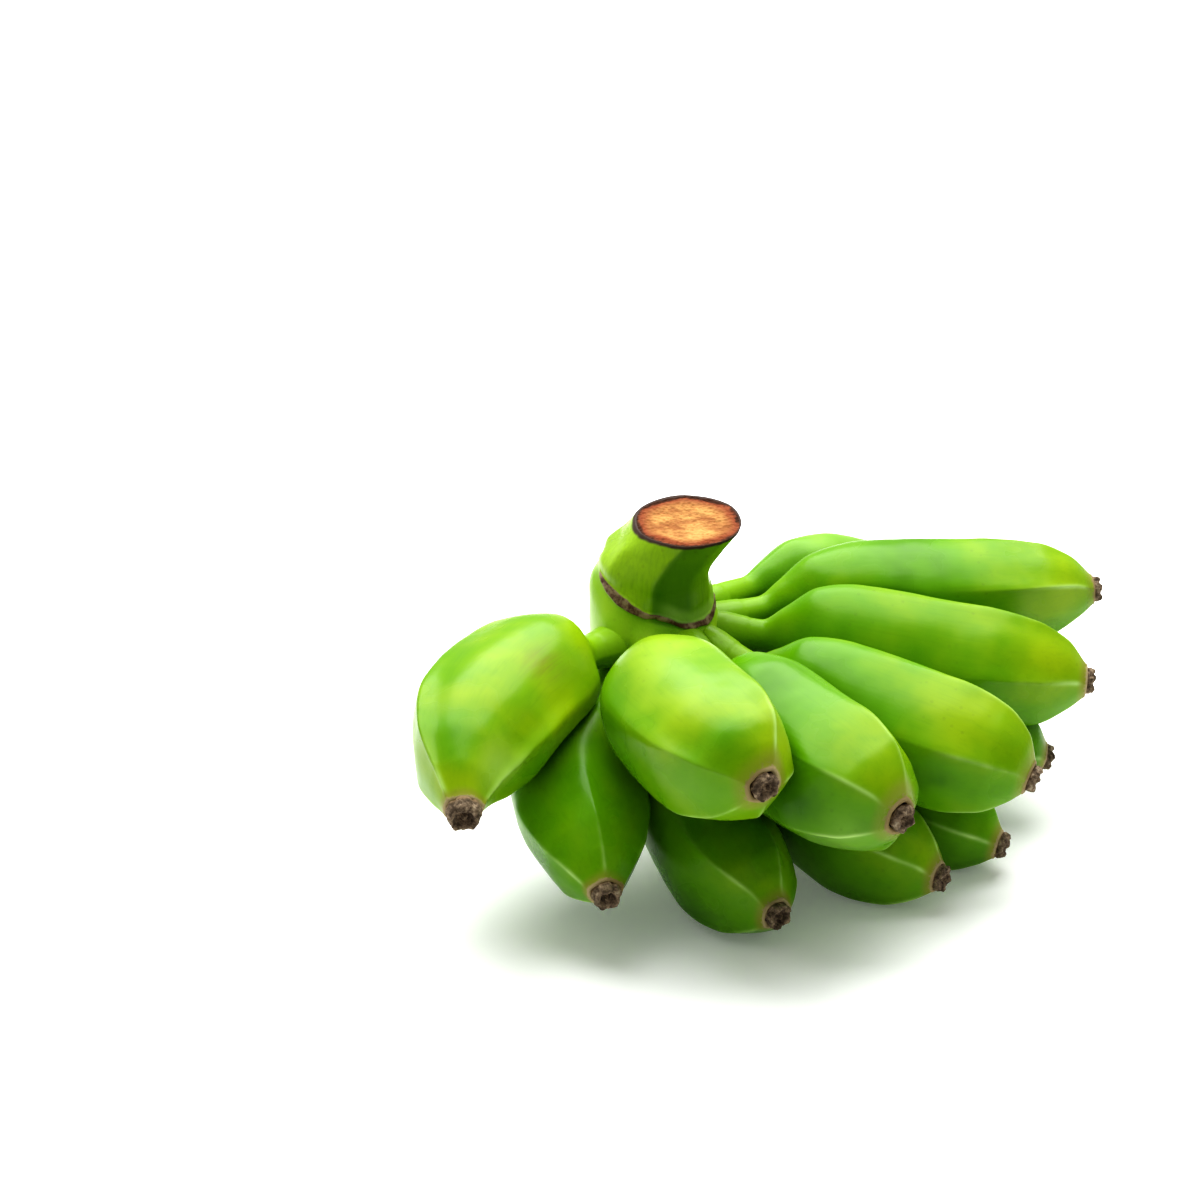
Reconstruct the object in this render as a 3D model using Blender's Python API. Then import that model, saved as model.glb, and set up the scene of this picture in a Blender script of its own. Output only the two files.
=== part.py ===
"""A hand of green cooking bananas on a short cut length of its stalk, lying on its lower fingers.

Metres, +Z up, front towards -Y. The stalk, each finger and each dried flower end is a solid of its own.
The origin is on the surface that the bunch lies on, under the middle of the bunch.
"""

import math
from collections import namedtuple

import bmesh
import bpy
import numpy as np

MM = 0.001

# Driving dimensions of a finger of factor 1. The table below scales them for each finger.
FINGER_WIDTH = 48 * MM
FINGER_HEIGHT = 47 * MM
TIP_RADIUS = 6.0 * MM
FLOWER_END_LENGTH = 5.0 * MM
THICKER_ENDS = {"upper_finger_1": 1.2}  # times TIP_RADIUS, and FLOWER_END_LENGTH
GAP = 0.4 * MM  # left between solids that grow from, or press on, each other
PRESSED_EDGE = 0.6 * MM  # rounding where the free skin meets a pressed flat
REST_FLAT = 1.0 * MM  # how far the lowest finger is flattened where it rests

# Driving dimensions of the stalk. It is cut off above and below the hand.
STALK_RADIUS = 18.5 * MM
ROOT_REACH = 24.0 * MM  # from the middle of the stalk to where each finger starts
STALK_SHIFT = -1.2 * MM  # of the stalk's middle, to the right of the point that the fingers grow round
STALK_LEAN = 0.65  # mm to the right for each mm of height, above the bend
BEND_HEIGHT = 15  # mm above the collar, where the bend is
BEND_LENGTH = 2.5  # mm, over which it turns
CUSHION_SWELL = 0.09  # added to the radius, over STALK_RADIUS, well below the bract scar
SWELL_HEIGHTS = (0.5, -11)  # mm above the scar, from where it starts to where it is all there
FOOT_HEIGHTS = (-33, -14)  # mm above the collar, over which it grows from the lower cut
SCAR_RISE = 3.0  # mm, of the bract scar's front over the collar
SCAR_SLANT, SCAR_DROP = 7.0, 7.0  # mm, of its left side over its front, and of its back below that
SCAR_BACK = (0.1, -0.7)  # from no drop to all of it, as cosines of the angle round from the front
COLLAR_RISE = 9 * MM  # of the bract scar's middle over the point that levels are measured from
COLLAR_TILT = 22  # degrees, down towards the front
CUT_TILT = 6
CUT_TILT_SHARE = 0.25  # share of the height above the collar that tilts with the upper cut

# Azimuth 0 heads to the front (-Y) and 90 to the right (+X). A finger leaves the stalk at azimuth
# `root`, `level` mm below the collar, at `rise` degrees above the horizon. Its `tip` is in mm from the
# middle of the collar, where it heads `turn_end`, `rise_end`. `neck` and `nose` lengthen the slender
# part at each end. `ridges` are in degrees around the finger, from its right side over its back.
Finger = namedtuple(
    "Finger", "name root level rise tip turn_end rise_end width height neck nose ridges"
)
FINGERS = (
    Finger(
        "upper_finger_1", -45, 8, 4, (-64, -119, -17), 7, -18, 1.15, 1.06, 1.00, 1.24,
        (43, 172, 222, 274, 328),
    ),
    Finger(
        "upper_finger_2", -5, 9, 5, (30, -130, -3), 30, -4, 1.13, 1.10, 1.00, 0.85,
        (18, 120, 195, 255, 315),
    ),
    Finger(
        "upper_finger_3", 28, 10, -13, (75, -114, -23), 42, -5, 1.13, 1.16, 1.00, 0.85,
        (37, 108, 180, 256, 342),
    ),
    Finger(
        "upper_finger_4", 54, 11, -13, (123, -72, -31), 66, -14, 1.02, 1.05, 1.00, 0.90,
        (21, 100, 175, 245, 310),
    ),
    Finger(
        "upper_finger_5", 86, 10, -3, (151, -12, -24), 84, -2, 0.98, 1.05, 0.85, 1.00,
        (14, 95, 175, 240, 305),
    ),
    Finger(
        "upper_finger_6", 112, 10, 5, (160, 34, -9), 92, 4, 0.96, 0.94, 0.95, 1.00,
        (28, 105, 180, 245, 310),
    ),
    Finger(
        "upper_finger_7", 135, 9, 8, (130, 80, -38), 108, -5, 0.94, 0.96, 1.20, 1.00,
        (10, 95, 175, 240, 305),
    ),
    Finger(
        "lower_finger_1", -40, 20, -18, (-19, -113, -51), 14, -14, 1.06, 0.98, 1.00, 1.15,
        (20, 90, 165, 235, 300),
    ),
    Finger(
        "lower_finger_2", 6, 22, -30, (37, -107, -63), 32, -2, 1.00, 0.96, 1.00, 1.00,
        (42, 112, 180, 250, 318),
    ),
    Finger(
        "lower_finger_3", 44, 22, -27, (93, -81, -64), 56, -4, 0.96, 0.96, 1.00, 1.00,
        (30, 105, 175, 245, 310),
    ),
    Finger(
        "lower_finger_4", 70, 22, -23, (117, -55, -66), 66, -10, 0.90, 0.92, 1.00, 1.00,
        (22, 100, 175, 240, 305),
    ),
    Finger(
        "lower_finger_5", 96, 22, -22, (138, -12, -54), 90, -14, 0.92, 0.92, 1.00, 1.00,
        (15, 95, 175, 240, 305),
    ),
    Finger(
        "lower_finger_6", 122, 22, -27, (120, 40, -66), 104, -8, 0.92, 0.92, 1.00, 1.00,
        (6, 90, 174, 238, 302),
    ),
    Finger(
        "lower_finger_7", 148, 22, -27, (75, 90, -66.3), 134, -8, 0.92, 0.92, 1.00, 1.00,
        (10, 96, 170, 240, 300),
    ),
    Finger(
        "lower_finger_8", 174, 22, -28, (10, 112, -66.8), 174, -8, 0.90, 0.92, 1.00, 1.00,
        (2, 84, 168, 236, 304),
    ),
)
SPINE_HANDLE = 0.36  # of the straight length, from each end of the centre line to its control point
SPINE_STEPS = 200

# Shape along a finger: (share of its length, share of its largest half-width or half-height).
HALF_WIDTH = (
    (0.00, 0.32), (0.13, 0.25), (0.21, 0.45), (0.32, 0.84), (0.46, 1.00), (0.70, 0.98),
    (0.87, 0.74), (0.955, 0.46), (1.00, 0.27),
)
BACK_HEIGHT = (
    (0.00, 0.32), (0.12, 0.26), (0.18, 0.48), (0.27, 0.86), (0.40, 1.00), (0.70, 0.99),
    (0.86, 0.86), (0.95, 0.60), (1.00, 0.28),
)
BELLY_HEIGHT = (
    (0.00, 0.32), (0.14, 0.26), (0.23, 0.46), (0.36, 0.86), (0.52, 1.00), (0.72, 0.98),
    (0.88, 0.76), (0.96, 0.47), (1.00, 0.27),
)
NECK_END = 0.2  # share of the length where the neck widens, on a finger whose neck is 1
NOSE_LENGTH = 0.3  # share of the length that tapers to the tip, on a finger whose nose is 1
WIDTH_WEIGHT, HEIGHT_WEIGHT = 0.46, 0.23  # of the half-width and of each half-height in the mean
FACE_SAG = 0.30  # a wide face bellies out, so that it never sinks further than this below its ridges
RIDGE_STRENGTH = ((0.0, 0.15), (0.20, 0.35), (0.50, 0.60), (0.85, 0.90), (1.00, 0.60))
RIDGE_SHARPNESS = ((0.0, 5.0), (0.3, 7.0), (0.6, 10.0), (0.9, 15.0), (1.0, 12.0))

FINGER_RINGS = 22
SIDES_PER_FACE = 4
PRESSING_SAMPLES = 61  # along each centre line, for measuring how near two fingers are
MOST_SWELL = 1.25  # largest radius that pressing is looked for at, over the free radius
HALVINGS = 12

# Up the stalk: height in mm, radius over STALK_RADIUS, share of the collar's rise and tilt.
STALK_PROFILE = (
    (-33, 0.80, 0.0), (-31.5, 0.86, 0.0), (-26, 0.97, 0.0), (-19, 1.06, 0.0), (-12, 1.11, 0.2),
    (-7, 1.12, 0.6), (-3, 1.12, 0.9), (0, 1.12, 1.0), (3.2, 1.12, 0.93), (6, 1.10, 0.85),
    (11, 1.075, 0.68), (14, 1.085, 0.57), (20, 1.08, 0.35), (25, 1.065, 0.17), (30, 1.05, 0.02),
    (31.3, 1.05, 0.0), (32.5, 1.03, 0.0),
)
STALK_SIDES = 36
STALK_FLATS = 6
FLAT_DEPTH = 0.022  # share of the radius
FLAT_TURN = 0.6

# From the finger's tip outwards: share of FLOWER_END_LENGTH, share of TIP_RADIUS.
FLOWER_END_PROFILE = ((0.0, 0.88), (0.3, 0.96), (0.7, 0.84), (1.0, 0.66))
FLOWER_END_SIDES = 12
FLOWER_LOBES = 5
LOBE_DEPTH = 0.07  # share of the radius

SHARP_ANGLE = 40  # degrees, above which an edge is drawn sharp
WORLD_LOW = -1.0  # a coordinate below everything, where only z is limited


def smooth_through(points, t):
    """A smooth curve through (t, value) points, with no overshoot between them."""
    xs, ys = np.array(points, float).T
    slopes = np.diff(ys) / np.diff(xs)
    tangents = np.zeros(len(xs))
    same = slopes[:-1] * slopes[1:] > 0
    both = slopes[:-1] + slopes[1:]
    tangents[1:-1][same] = 2 * slopes[:-1][same] * slopes[1:][same] / both[same]
    tangents[0], tangents[-1] = slopes[0], slopes[-1]
    i = np.clip(np.searchsorted(xs, t, side="right") - 1, 0, len(xs) - 2)
    span = xs[i + 1] - xs[i]
    u = (t - xs[i]) / span
    return (
        (2 * u**3 - 3 * u**2 + 1) * ys[i]
        + (u**3 - 2 * u**2 + u) * span * tangents[i]
        + (3 * u**2 - 2 * u**3) * ys[i + 1]
        + (u**3 - u**2) * span * tangents[i + 1]
    )


def step(low, high, value):
    """0 at low, 1 at high, smooth between."""
    u = np.clip((value - low) / (high - low), 0, 1)
    return u * u * (3 - 2 * u)


def heading(azimuth, rise):
    """The unit vector for two angles in degrees."""
    a, r = math.radians(azimuth), math.radians(rise)
    return np.array([math.sin(a) * math.cos(r), -math.cos(a) * math.cos(r), math.sin(r)])


def spine(finger, t):
    """The finger's centre line at shares t of its length: points and unit headings."""
    start = heading(finger.root, 0) * ROOT_REACH - np.array([0, 0, finger.level * MM])
    end = np.array(finger.tip) * MM
    handle = SPINE_HANDLE * np.linalg.norm(end - start)
    leaving = start + handle * heading(finger.root, finger.rise)
    arriving = end - handle * heading(finger.turn_end, finger.rise_end)
    u = np.linspace(0, 1, SPINE_STEPS + 1)[:, None]
    curve = (
        (1 - u) ** 3 * start
        + 3 * (1 - u) ** 2 * u * leaving
        + 3 * (1 - u) * u**2 * arriving
        + u**3 * end
    )
    steps = np.linalg.norm(np.diff(curve, axis=0), axis=1)
    share = np.concatenate([[0], np.cumsum(steps)]) / steps.sum()
    slope = np.gradient(curve, share, axis=0)
    at = np.stack([np.interp(t, share, curve[:, k]) for k in range(3)], axis=-1)
    along = np.stack([np.interp(t, share, slope[:, k]) for k in range(3)], axis=-1)
    return at, along / np.linalg.norm(along, axis=-1, keepdims=True)


def across(forward):
    """Unit directions to the right of, and above, a heading."""
    right = np.cross(forward, [0, 0, 1])
    right = right / np.linalg.norm(right, axis=-1, keepdims=True)
    return right, np.cross(right, forward)


def following(ridges):
    """The ridge after each one, in radians, going on past a full turn."""
    return np.roll(ridges, -1) + np.array([0] * (len(ridges) - 1) + [2 * np.pi])


def section(finger, theta, t):
    """Radius of the ridged section at angles theta for shares t, 1 at a sharp ridge."""
    ridges = np.radians(finger.ridges)
    after = following(ridges)
    normals, depth = (ridges + after) / 2, np.cos((after - ridges) / 2)
    facing = np.maximum(np.cos(theta[..., None] - normals), 0) / depth
    sharpness = smooth_through(RIDGE_SHARPNESS, t)
    polygon = (facing ** sharpness[..., None]).sum(-1) ** (-1 / sharpness)
    sag = 1 - polygon
    return 1 - smooth_through(RIDGE_STRENGTH, t) * sag / np.sqrt(1 + (sag / FACE_SAG) ** 2)


def half_sizes(finger, t):
    """Half-width, and half-height over the back and under the belly, at shares t."""
    t = t ** (math.log(NECK_END) / math.log(NECK_END * finger.neck))
    t = 1 - (1 - t) ** (math.log(NOSE_LENGTH) / math.log(NOSE_LENGTH * finger.nose))
    wide = FINGER_WIDTH / 2 * finger.width * smooth_through(HALF_WIDTH, t)
    high = FINGER_HEIGHT / 2 * finger.height
    return wide, high * smooth_through(BACK_HEIGHT, t), high * smooth_through(BELLY_HEIGHT, t)


def free_skin(finger, t, theta):
    """Centres, unit directions and radii of the skin at shares t and angles theta, pressed by nothing."""
    centre, forward = spine(finger, t)
    right, up = across(forward)
    radius = section(finger, theta, t)
    wide, back, belly = half_sizes(finger, t)
    x = radius * np.cos(theta) * wide
    y = radius * np.sin(theta)
    y = y * np.where(y > 0, back, belly)
    out = x[..., None] * right + y[..., None] * up
    reach = np.linalg.norm(out, axis=-1)
    return centre, out / reach[..., None], reach


def inside_by(finger, points):
    """How far points are from the finger's centre line, less its mean half-thickness there."""
    t = np.linspace(0, 1, PRESSING_SAMPLES)
    at, _ = spine(finger, t)
    wide, back, belly = half_sizes(finger, t)
    thickness = WIDTH_WEIGHT * wide + HEIGHT_WEIGHT * (back + belly)
    away = np.linalg.norm(points[..., None, :] - at, axis=-1)
    return (away - thickness).min(-1)


def pressed_skin(finger, t, theta):
    """Points of the skin, flattened where it presses on the other fingers."""
    centre, out, reach = free_skin(finger, t, theta)
    others = [other for other in FINGERS if other is not finger]

    def clear(radius):
        points = centre + out * radius[..., None]
        nearest = np.min([inside_by(other, points) for other in others], axis=0)
        return nearest - inside_by(finger, points) - GAP

    low, high = np.zeros_like(reach), reach * MOST_SWELL
    free = clear(high) > 0
    for _ in range(HALVINGS):
        middle = (low + high) / 2
        within = clear(middle) > 0
        low, high = np.where(within, middle, low), np.where(within, high, middle)
    limit = np.where(free, reach * MOST_SWELL, low)
    pressed = (reach + limit) / 2 - np.sqrt(((reach - limit) / 2) ** 2 + PRESSED_EDGE**2)
    return centre + out * pressed[..., None]


def finger_rings(finger):
    """Rings from the root to the tip, with a point on every ridge."""
    ridges = np.radians(finger.ridges)
    steps = np.arange(SIDES_PER_FACE) / SIDES_PER_FACE
    theta = np.concatenate([a + (b - a) * steps for a, b in zip(ridges, following(ridges))])
    t, theta = np.meshgrid(np.linspace(0, 1, FINGER_RINGS), theta, indexing="ij")
    return pressed_skin(finger, t, theta)


def flower_end_rings(finger):
    """A short rough plug, five-lobed as the flower was, beyond the tip of its finger."""
    share, radius = np.array(FLOWER_END_PROFILE).T
    theta = np.arange(FLOWER_END_SIDES) * 2 * np.pi / FLOWER_END_SIDES
    tip, forward = spine(finger, np.array(1.0))
    right, up = across(forward)
    lobes = 1 + LOBE_DEPTH * np.sin(FLOWER_LOBES * theta) * share[:, None]
    thicker = THICKER_ENDS.get(finger.name, 1)
    reach = thicker * (TIP_RADIUS * radius)[:, None] * lobes
    centre = tip + forward * (GAP + thicker * FLOWER_END_LENGTH * share)[:, None]
    return (
        centre[:, None]
        + (reach * np.cos(theta))[..., None] * right
        + (reach * np.sin(theta))[..., None] * up
    )


def stalk_rings():
    """Rings from the lower cut to the upper cut, tilted near the collar and leaning above it."""
    height, radius, collar = np.array(STALK_PROFILE).T[..., None]
    theta = np.arange(STALK_SIDES) * 2 * np.pi / STALK_SIDES
    above = np.clip(height, 0, None) / height.max()
    above_scar = height - SCAR_RISE + SCAR_SLANT * np.sin(theta)
    above_scar = above_scar + SCAR_DROP * step(*SCAR_BACK, np.cos(theta))
    swell = CUSHION_SWELL * step(*SWELL_HEIGHTS, above_scar) * step(*FOOT_HEIGHTS, height)
    soft_flats = 1 + FLAT_DEPTH * np.sqrt(above) * np.cos(STALK_FLATS * theta + FLAT_TURN)
    reach = STALK_RADIUS * (radius + swell) * soft_flats
    x, y = reach * np.sin(theta), -reach * np.cos(theta)
    z = height * MM + collar * (COLLAR_RISE + y * math.tan(math.radians(COLLAR_TILT)))
    near_cut = np.clip((above - 1) / CUT_TILT_SHARE + 1, 0, 1)
    z = z + near_cut * math.tan(math.radians(CUT_TILT)) * y
    past = height - BEND_HEIGHT
    lean = STALK_LEAN * (np.sqrt(past**2 + BEND_LENGTH**2) + past) / 2 * MM
    x = x + STALK_SHIFT + lean
    return np.stack(np.broadcast_arrays(x, y, z), axis=-1)


def loft(name, rings, material):
    """A closed object skinned over rings of points, with flat ends."""
    shape = bmesh.new()
    loops = []
    for ring in rings:
        verts = [shape.verts.new(point) for point in ring]
        loops.append([shape.edges.new(pair) for pair in zip(verts, verts[1:] + verts[:1])])
    for near, far in zip(loops, loops[1:]):
        bmesh.ops.bridge_loops(shape, edges=near + far)
    for end in (loops[0], loops[-1]):
        bmesh.ops.contextual_create(shape, geom=end)
    bmesh.ops.recalc_face_normals(shape, faces=shape.faces)
    mesh = bpy.data.meshes.new(name)
    shape.to_mesh(mesh)
    shape.free()
    mesh.shade_smooth()
    mesh.set_sharp_from_angle(angle=math.radians(SHARP_ANGLE))
    mesh.materials.append(material)
    placed = bpy.data.objects.new(name, mesh)
    bpy.context.scene.collection.objects.link(placed)
    return placed


def finish(name, colour, roughness):
    """A plain material with its own Principled shader."""
    material = bpy.data.materials.new(name)
    material.use_nodes = True
    shader = material.node_tree.nodes["Principled BSDF"]
    shader.inputs["Base Color"].default_value = (*colour, 1)
    shader.inputs["Roughness"].default_value = roughness
    return material


def green_peel():
    return finish("green_peel", (0.13, 0.36, 0.02), 0.4)


def green_stalk():
    return finish("green_stalk", (0.12, 0.28, 0.03), 0.5)


def dried_flower():
    return finish("dried_flower", (0.06, 0.035, 0.02), 0.9)


def clear_scene():
    for leftover in list(bpy.data.objects):
        bpy.data.objects.remove(leftover)


def main():
    clear_scene()
    peel, dried = green_peel(), dried_flower()
    solids = [("stalk", stalk_rings(), green_stalk())]
    for finger in FINGERS:
        solids.append((finger.name, finger_rings(finger), peel))
        flower_end = finger.name.replace("finger", "flower_end")
        solids.append((flower_end, flower_end_rings(finger), dried))

    points = np.concatenate([rings.reshape(-1, 3) for _, rings, _ in solids])
    low, high = points.min(axis=0), points.max(axis=0)
    surface = low[2] + REST_FLAT
    origin = np.array([(low[0] + high[0]) / 2, (low[1] + high[1]) / 2, surface])
    for name, rings, material in solids:
        resting = np.maximum(rings - origin, [WORLD_LOW, WORLD_LOW, 0])
        loft(name, resting, material)


main()
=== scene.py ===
"""A hand of green cooking bananas on a short cut length of its stalk, lying on its lower fingers."""

import math
from collections import namedtuple

import bpy
import numpy as np
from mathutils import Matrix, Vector, noise


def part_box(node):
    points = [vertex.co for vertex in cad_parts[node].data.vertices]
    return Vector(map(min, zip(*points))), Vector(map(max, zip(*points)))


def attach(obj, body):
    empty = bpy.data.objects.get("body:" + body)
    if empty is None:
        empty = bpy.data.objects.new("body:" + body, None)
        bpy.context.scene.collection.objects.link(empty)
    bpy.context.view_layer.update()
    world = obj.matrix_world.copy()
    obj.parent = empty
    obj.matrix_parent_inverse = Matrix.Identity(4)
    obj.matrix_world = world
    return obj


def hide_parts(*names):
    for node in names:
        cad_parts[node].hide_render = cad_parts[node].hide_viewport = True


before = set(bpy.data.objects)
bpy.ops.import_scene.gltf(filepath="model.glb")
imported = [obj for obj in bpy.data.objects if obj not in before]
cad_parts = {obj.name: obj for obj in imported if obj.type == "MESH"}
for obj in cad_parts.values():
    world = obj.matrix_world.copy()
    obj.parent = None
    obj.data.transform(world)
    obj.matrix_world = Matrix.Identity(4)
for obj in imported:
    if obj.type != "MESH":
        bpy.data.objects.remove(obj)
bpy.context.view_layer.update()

# ---- Stalk -----------------------------------------------------------------------------------
# A short length of the plant's thick green stalk, cut through above and below the hand. Its skin has
# soft flats, a dry brown scar runs round it where the bract fell off, and below that it swells into the
# cushion that every finger grows out of.

MM = 0.001
STALK_RADIUS = 18.5 * MM
STALK_WIDEST = 23.539 * MM  # from the middle of the collar to the stalk's left side
LOWER_CUT, UPPER_CUT = -33, 32.5  # mm above the collar
BEND_HEIGHT = 15  # mm above the collar, where the stalk starts to lean to the right
BEND_LENGTH = 2.5  # mm
STALK_LEAN = 0.65  # mm to the right for each mm of height
STALK_SHIFT = -1.2 * MM
COLLAR_RISE = 9 * MM
COLLAR_TILT = 22  # degrees, higher behind
CUT_TILT = 6  # degrees, higher behind
# Up the stalk: height in mm, radius over STALK_RADIUS, share of the collar's rise and tilt.
STALK_PROFILE = (
    (LOWER_CUT, 0.80, 0.0), (-31.5, 0.86, 0.0), (-26, 0.97, 0.0), (-19, 1.06, 0.0), (-12, 1.11, 0.2),
    (-7, 1.12, 0.6), (-3, 1.12, 0.9), (0, 1.12, 1.0), (3.2, 1.12, 0.93), (6, 1.10, 0.85),
    (11, 1.075, 0.68), (14, 1.085, 0.57), (20, 1.08, 0.35), (25, 1.065, 0.17), (30, 1.05, 0.02),
    (31.3, 1.05, 0.0), (UPPER_CUT, 1.03, 0.0),
)
STALK_EDGES = (-60, -4, 38, 66, 128, 185, 240)  # degrees round from the front, where two flats meet
EDGE_SHARPNESS = 24.0
FLAT_DEPTH = 0.80
STALK_SIDES = 240
CUT_RINGS = 14

SCAR_RISE = 3.0  # mm above the collar, at the front
SCAR_SLANT = 7.0  # mm that it rises to the left side and falls to the right
SCAR_DROP = 7.0  # mm that it falls behind
SCAR_BUMP = 0.6 * MM

CUSHION_SWELL = 0.14  # added to the radius over STALK_RADIUS
SWELL_HEIGHTS = (0.5, -11)  # mm above the scar, from where it starts to where it is all there
FOOT_HEIGHTS = (-33, -14)  # mm above the collar, over which it grows from the lower cut
NECK_BULGE = 3.2 * MM  # how far the cushion stands out round the start of a neck
NECK_BULGE_WIDTH = 7.5 * MM

# Painted light and shade round the stalk, with a painted highlight line by the edge at -4 degrees: degrees
# from the front, 0 for deep green to 1 for light.
STALK_LIGHT_AND_SHADE = (
    (0, 0.26), (34, 0.34), (42, 0.62), (60, 0.72), (68, 1.00), (128, 0.60), (185, 0.50), (240, 0.70),
    (292, 1.00), (304, 0.90), (346, 1.00), (351, 1.10), (357, 0.34), (360, 0.26),
)
# The shaded and the lit green of the flats, for their painted light and shade.
STALK_SHADED_AND_LIT_GREENS = (0.042, 0.165, 0.001), (0.320, 0.520, 0.006)
STALK_FIBRE = (0.050, 0.170, 0.002)
STALK_BLOOM = (0.280, 0.460, 0.012)
CUSHION_GREENS = (0.200, 0.420, 0.003), (0.360, 0.560, 0.020)
LIP_GREEN = (0.480, 0.640, 0.200)
SCAR_BROWNS = (0.100, 0.034, 0.018), (0.330, 0.230, 0.150)
CUT_RIM = (0.045, 0.020, 0.010)
STALK_FRECKLE = (0.060, 0.050, 0.010)
FLESH_TANS = (0.310, 0.125, 0.034), (0.570, 0.330, 0.118)
FLESH_RED = (0.250, 0.070, 0.026)
FLESH_FIBRE = (0.330, 0.110, 0.030)
FLESH_EDGE = (0.060, 0.022, 0.010)

# Fingers leave the stalk at azimuth `root` (0 is the front, 90 the right), `level` mm below the collar,
# at `rise` degrees above the horizon. Each `tip` is in mm from the collar's middle, where the finger
# heads `turn_end`, `rise_end`. `width` and `height` are times those of a middling finger, `neck` and
# `nose` lengthen its two ends, and `ridges` are degrees round it, from its right side over its back.
# The last number is how far its green has lightened, with painted shade added: the lower row, shaded by the
# upper one, is set deeper green.
Finger = namedtuple(
    "Finger", "name root level rise tip turn_end rise_end width height neck nose ridges yellow")
FINGERS = (
    Finger("upper_finger_1", -45, 8, 4, (-64, -119, -17), 7, -18,
           1.135, 1.06, 1.0, 1.24, (43, 172, 222, 274, 328), 0.62),
    Finger("upper_finger_2", -5, 9, 5, (30, -130, -3), 30, -4,
           1.13, 1.10, 1.0, 0.85, (18, 120, 195, 255, 315), 0.64),
    Finger("upper_finger_3", 28, 10, -13, (75, -114, -23), 42, -5,
           1.13, 1.16, 1.0, 0.85, (37, 108, 180, 256, 342), 0.50),
    Finger("upper_finger_4", 54, 11, -13, (123, -72, -31), 66, -14,
           1.02, 1.05, 1.0, 0.9, (21, 100, 175, 245, 310), 0.55),
    Finger("upper_finger_5", 86, 10, -3, (151, -12, -24), 84, -2,
           0.98, 1.05, 0.85, 1.0, (14, 95, 175, 240, 305), 0.50),
    Finger("upper_finger_6", 112, 10, 5, (160, 34, -9), 92, 4,
           0.96, 0.94, 0.95, 1.0, (28, 105, 180, 245, 310), 0.55),
    Finger("upper_finger_7", 135, 9, 8, (130, 80, -38), 108, -5,
           0.94, 0.96, 1.2, 1.0, (10, 95, 175, 240, 305), 0.50),
    Finger("lower_finger_1", -40, 20, -18, (-19, -113, -51), 14, -14,
           1.06, 0.98, 1.0, 1.15, (20, 90, 165, 235, 300), 0.34),
    Finger("lower_finger_2", 6, 22, -30, (37, -107, -63), 32, -2,
           1.00, 0.96, 1.0, 1.0, (42, 112, 180, 250, 318), 0.40),
    Finger("lower_finger_3", 44, 22, -27, (93, -81, -64), 56, -4,
           0.96, 0.96, 1.0, 1.0, (30, 105, 175, 245, 310), 0.42),
    Finger("lower_finger_4", 70, 22, -23, (117, -55, -66), 66, -10,
           0.90, 0.92, 1.0, 1.0, (22, 100, 175, 240, 305), 0.30),
    Finger("lower_finger_5", 96, 22, -22, (138, -12, -54), 90, -14,
           0.92, 0.92, 1.0, 1.0, (15, 95, 175, 240, 305), 0.25),
    Finger("lower_finger_6", 122, 22, -27, (120, 40, -66), 104, -8,
           0.92, 0.92, 1.0, 1.0, (6, 90, 174, 238, 302), 0.20),
    Finger("lower_finger_7", 148, 22, -27, (75, 90, -66.3), 134, -8,
           0.92, 0.92, 1.0, 1.0, (10, 96, 170, 240, 300), 0.20),
    Finger("lower_finger_8", 174, 22, -28, (10, 112, -66.8), 174, -8,
           0.90, 0.92, 1.0, 1.0, (2, 84, 168, 236, 304), 0.20),
)
ROOT_REACH = 24.0 * MM

stalk_low, stalk_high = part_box("stalk")
COLLAR = np.array([
    stalk_low.x + STALK_WIDEST, (stalk_low.y + stalk_high.y) / 2, stalk_low.z - LOWER_CUT * MM])


def smooth_through(points, t):
    """A smooth curve through (t, value) points, with no overshoot between them."""
    xs, ys = np.array(points, float).T
    slopes = np.diff(ys) / np.diff(xs)
    tangents = np.zeros(len(xs))
    same = slopes[:-1] * slopes[1:] > 0
    both = slopes[:-1] + slopes[1:]
    tangents[1:-1][same] = 2 * slopes[:-1][same] * slopes[1:][same] / both[same]
    tangents[0], tangents[-1] = slopes[0], slopes[-1]
    i = np.clip(np.searchsorted(xs, t, side="right") - 1, 0, len(xs) - 2)
    span = xs[i + 1] - xs[i]
    u = (t - xs[i]) / span
    return (
        (2 * u**3 - 3 * u**2 + 1) * ys[i]
        + (u**3 - 2 * u**2 + u) * span * tangents[i]
        + (3 * u**2 - 2 * u**3) * ys[i + 1]
        + (u**3 - u**2) * span * tangents[i + 1]
    )


def step(start, end, value):
    """0 before start, 1 after end, smooth between. It falls instead where end is the lower of them."""
    u = np.clip((value - start) / (end - start), 0, 1)
    return u * u * (3 - 2 * u)


def many_sided(theta, edges, sharpness):
    """Radius at angles theta of a section with its edges at those degrees, 1 at a sharp edge."""
    edge = np.radians(edges)
    after = np.roll(edge, -1) + np.array([0] * (len(edge) - 1) + [2 * np.pi])
    middle, depth = (edge + after) / 2, np.cos((after - edge) / 2)
    facing = np.maximum(np.cos(theta[..., None] - middle), 0) / depth
    sharpness = np.asarray(sharpness)[..., None]
    return (facing**sharpness).sum(-1) ** (-1 / sharpness[..., 0])


def uneven(points, size, offset=0.0):
    """Smooth bumps from -1 to 1 of about that size in metres, at every point."""
    flat = (points.reshape(-1, 3) / size + offset).tolist()
    return np.array([noise.noise(p) for p in flat]).reshape(points.shape[:-1])


def heading(azimuth, rise):
    """The unit vector for two angles in degrees."""
    a, r = math.radians(azimuth), math.radians(rise)
    return np.array([math.sin(a) * math.cos(r), -math.cos(a) * math.cos(r), math.sin(r)])


def root_of(finger):
    """Where the finger's centre line leaves the cushion, from the collar's middle."""
    return heading(finger.root, 0) * ROOT_REACH - np.array([0, 0, finger.level * MM])


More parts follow.
